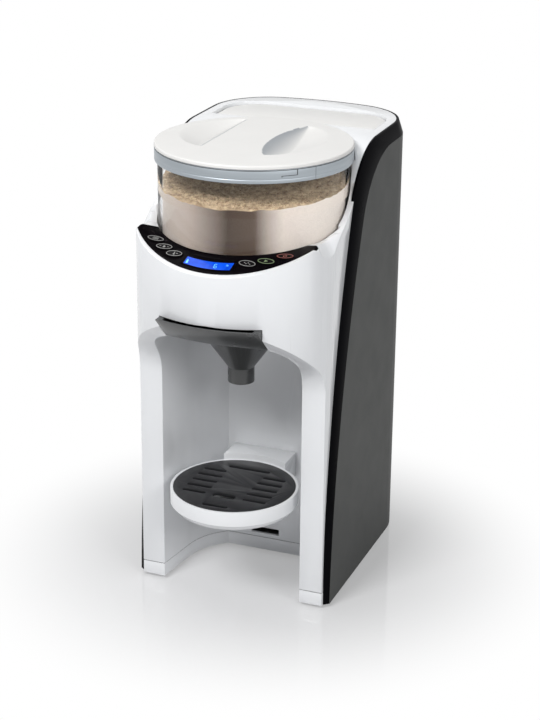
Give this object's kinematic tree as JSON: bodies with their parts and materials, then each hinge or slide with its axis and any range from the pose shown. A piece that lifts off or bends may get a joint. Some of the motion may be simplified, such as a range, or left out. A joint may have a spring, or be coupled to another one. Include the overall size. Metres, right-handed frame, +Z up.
{
  "type": "baby formula maker",
  "caption": "Countertop baby formula maker: white head on twin columns over a bottle bay, clear round powder container with twist lid, pull-out funnel, drip tray and dark side panels.",
  "frame": {"origin": "on the table, under the middle of the machine's bounding box", "axes": "+Z up, the filling bay faces -Y, +X to the right seen from the front"},
  "size_m": [0.184, 0.294, 0.406],
  "materials": {
    "white_shell": "high gloss",
    "white_lid": "semi gloss",
    "black_trim": "high gloss",
    "grey_panel": "satin",
    "clear_plastic": "clear",
    "silver_band": "satin",
    "smoke_funnel": "smoky",
    "black_panel": "high gloss",
    "display_glass": "lit",
    "button_black": "gloss",
    "grille_grey": "matte",
    "rubber_black": "matte",
    "silicone_clear": "satin",
    "steel": "brushed",
    "inner_plastic": "matte",
    "gear_plastic": "satin",
    "brass": "turned",
    "board_green": "lacquered",
    "tank_plastic": "clear"
  },
  "bodies": {
    "housing": {"main_housing": "white_shell", "rim_trim": "black_trim", "back_panel": "grey_panel", "side_panel_left": "grey_panel", "side_panel_right": "grey_panel", "base_plate": "white_shell", "rubber_feet": "rubber_black", "base_screws": "steel", "chassis_frame": "inner_plastic", "gear_deck": "inner_plastic", "motor_screws": "steel", "shaft_bush": "brass", "gear_motor": "steel", "powder_chute": "gear_plastic", "tank_seat": "inner_plastic", "valve_seal": "silicone_clear", "water_pump": "inner_plastic", "water_heater": "steel", "water_nozzle": "steel", "tank_hose": "silicone_clear", "pump_hose": "silicone_clear", "nozzle_hose": "silicone_clear", "control_panel": "black_panel", "display_lens": "display_glass", "display_module": "inner_plastic", "keypad_mat": "rubber_black", "control_board": "board_green", "power_board": "board_green", "board_pillars": "inner_plastic", "cord_gland": "rubber_black"},
    "container": {"powder_container": "clear_plastic", "container_band": "silver_band", "scraper_blade": "silicone_clear"},
    "lid_ring": {"lid_seal": "silicone_clear"},
    "lid": {"container_lid": "white_lid"},
    "wheel": {"dosing_wheel": "gear_plastic", "stirrer": "gear_plastic", "container_shaft": "steel"},
    "drive": {"drive_gear": "gear_plastic", "drive_shaft": "steel"},
    "pinion": {"motor_pinion": "brass"},
    "funnel_drawer": {"funnel": "smoke_funnel"},
    "tray": {"drip_tray": "white_shell"},
    "grille": {"drip_grille": "grille_grey"},
    "tank": {"water_tank": "tank_plastic", "tank_valve": "inner_plastic"},
    "tank_cover": {"tank_lid": "white_lid"},
    "float": {"tank_float": "gear_plastic"},
    "menu_button": {"menu_button": "button_black"},
    "volume_button": {"volume_button": "button_black"},
    "temperature_button": {"temperature_button": "button_black"},
    "powder_button": {"powder_button": "button_black"},
    "start_button": {"start_button": "button_black"},
    "power_button": {"power_button": "button_black"}
  },
  "joints": [
    {"name": "container_lift", "type": "slide", "parent": "housing", "child": "container", "axis": [0, 0, 1], "range_m": [0, 0.07]},
    {"name": "lid_lift", "type": "slide", "parent": "container", "child": "lid_ring", "axis": [0, 0, 1], "range_m": [0, 0.03]},
    {"name": "lid_twist", "type": "hinge", "parent": "lid_ring", "child": "lid", "pos_m": [0, -0.035, 0.4], "axis": [0, 0, 1], "range_deg": [0, 25]},
    {"name": "wheel_spin", "type": "hinge", "parent": "container", "child": "wheel", "pos_m": [0, -0.035, 0.32], "axis": [0, 0, 1], "continuous": true},
    {"name": "gear_spin", "type": "hinge", "parent": "housing", "child": "drive", "pos_m": [0, -0.035, 0.298], "axis": [0, 0, 1], "continuous": true},
    {"name": "pinion_spin", "type": "hinge", "parent": "housing", "child": "pinion", "pos_m": [0, 0.01, 0.298], "axis": [0, 0, 1], "continuous": true},
    {"name": "funnel_slide", "type": "slide", "parent": "housing", "child": "funnel_drawer", "axis": [0, -1, 0], "range_m": [0, 0.12]},
    {"name": "tray_slide", "type": "slide", "parent": "housing", "child": "tray", "axis": [0, -1, 0], "range_m": [0, 0.06]},
    {"name": "grille_lift", "type": "slide", "parent": "tray", "child": "grille", "axis": [0, 0, 1], "range_m": [0, 0.03]},
    {"name": "tank_lift", "type": "slide", "parent": "housing", "child": "tank", "axis": [0, 0, 1], "range_m": [0, 0.18]},
    {"name": "tank_lid_lift", "type": "slide", "parent": "tank", "child": "tank_cover", "axis": [0, 0, 1], "range_m": [0, 0.04]},
    {"name": "float_rise", "type": "slide", "parent": "tank", "child": "float", "axis": [0, 0, 1], "range_m": [0, 0.08]},
    {"name": "menu_press", "type": "slide", "parent": "housing", "child": "menu_button", "axis": [-0.1161, 0.219, -0.9688], "range_m": [0, 0.0008], "stiffness_N_per_m": 300},
    {"name": "volume_press", "type": "slide", "parent": "housing", "child": "volume_button", "axis": [-0.0204, 0.3175, -0.948], "range_m": [0, 0.0008], "stiffness_N_per_m": 300},
    {"name": "temperature_press", "type": "slide", "parent": "housing", "child": "temperature_button", "axis": [0.019, 0.3969, -0.9177], "range_m": [0, 0.0008], "stiffness_N_per_m": 300},
    {"name": "powder_press", "type": "slide", "parent": "housing", "child": "powder_button", "axis": [-0.0319, 0.4217, -0.9062], "range_m": [0, 0.0008], "stiffness_N_per_m": 300},
    {"name": "start_press", "type": "slide", "parent": "housing", "child": "start_button", "axis": [-0.0022, 0.3415, -0.9399], "range_m": [0, 0.0008], "stiffness_N_per_m": 300},
    {"name": "power_press", "type": "slide", "parent": "housing", "child": "power_button", "axis": [0.0912, 0.2365, -0.9673], "range_m": [0, 0.0008], "stiffness_N_per_m": 300}
  ],
  "couplings": [
    {"joint": "gear_spin", "follows": "wheel_spin", "ratio": 1},
    {"joint": "pinion_spin", "follows": "wheel_spin", "ratio": -3.5}
  ]
}
